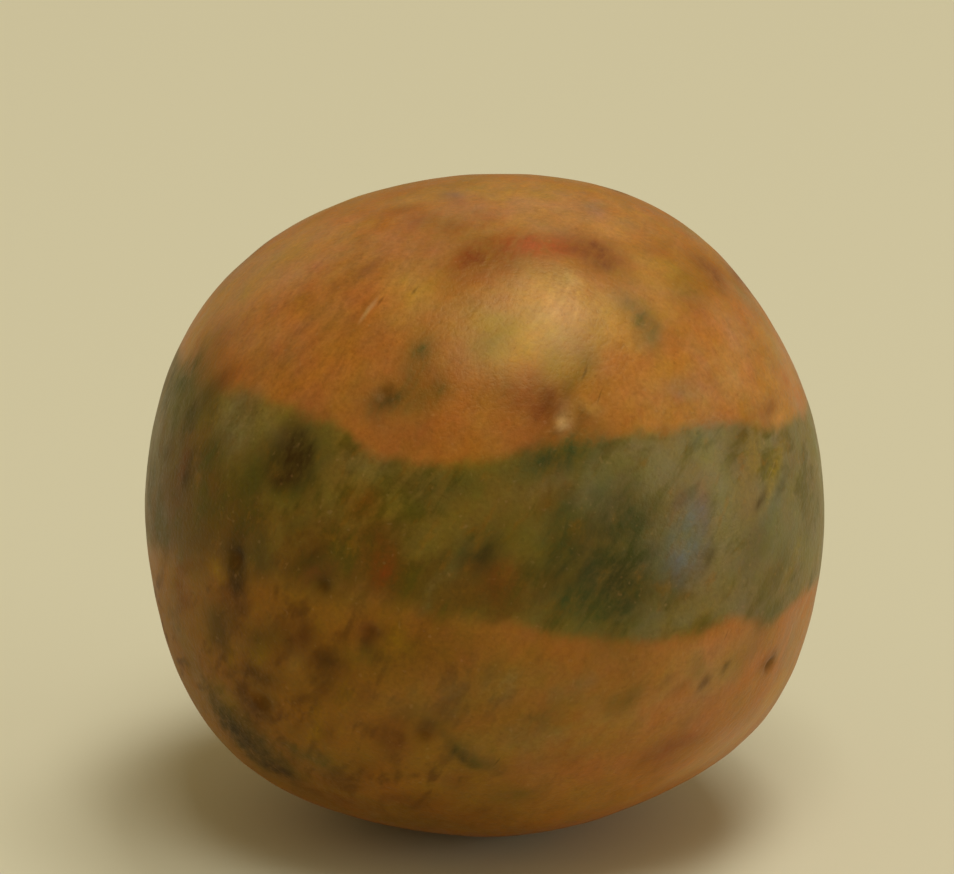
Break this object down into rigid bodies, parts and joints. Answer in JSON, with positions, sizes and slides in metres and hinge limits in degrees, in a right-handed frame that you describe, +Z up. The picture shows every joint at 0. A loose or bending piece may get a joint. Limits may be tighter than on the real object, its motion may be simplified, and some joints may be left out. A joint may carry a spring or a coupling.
{
  "type": "pottery marble",
  "caption": "Hand-rolled fired clay marble, slightly out of round, with a wavy olive-green band around an orange-brown body and a rubbed satin skin.",
  "frame": {"origin": "middle of the ball", "axes": "+Z up, with the green band running round the ball like a belt, a little above the middle; -Y is the front, where the band carries its darkest green patch, and +X is to the right of it; the ball is widest along X and a little pressed along Z"},
  "size_m": [0.0192, 0.0189, 0.0186],
  "materials": {
    "fired_clay": "satin"
  },
  "bodies": {
    "root": {"marble": "fired_clay"}
  },
  "joints": []
}
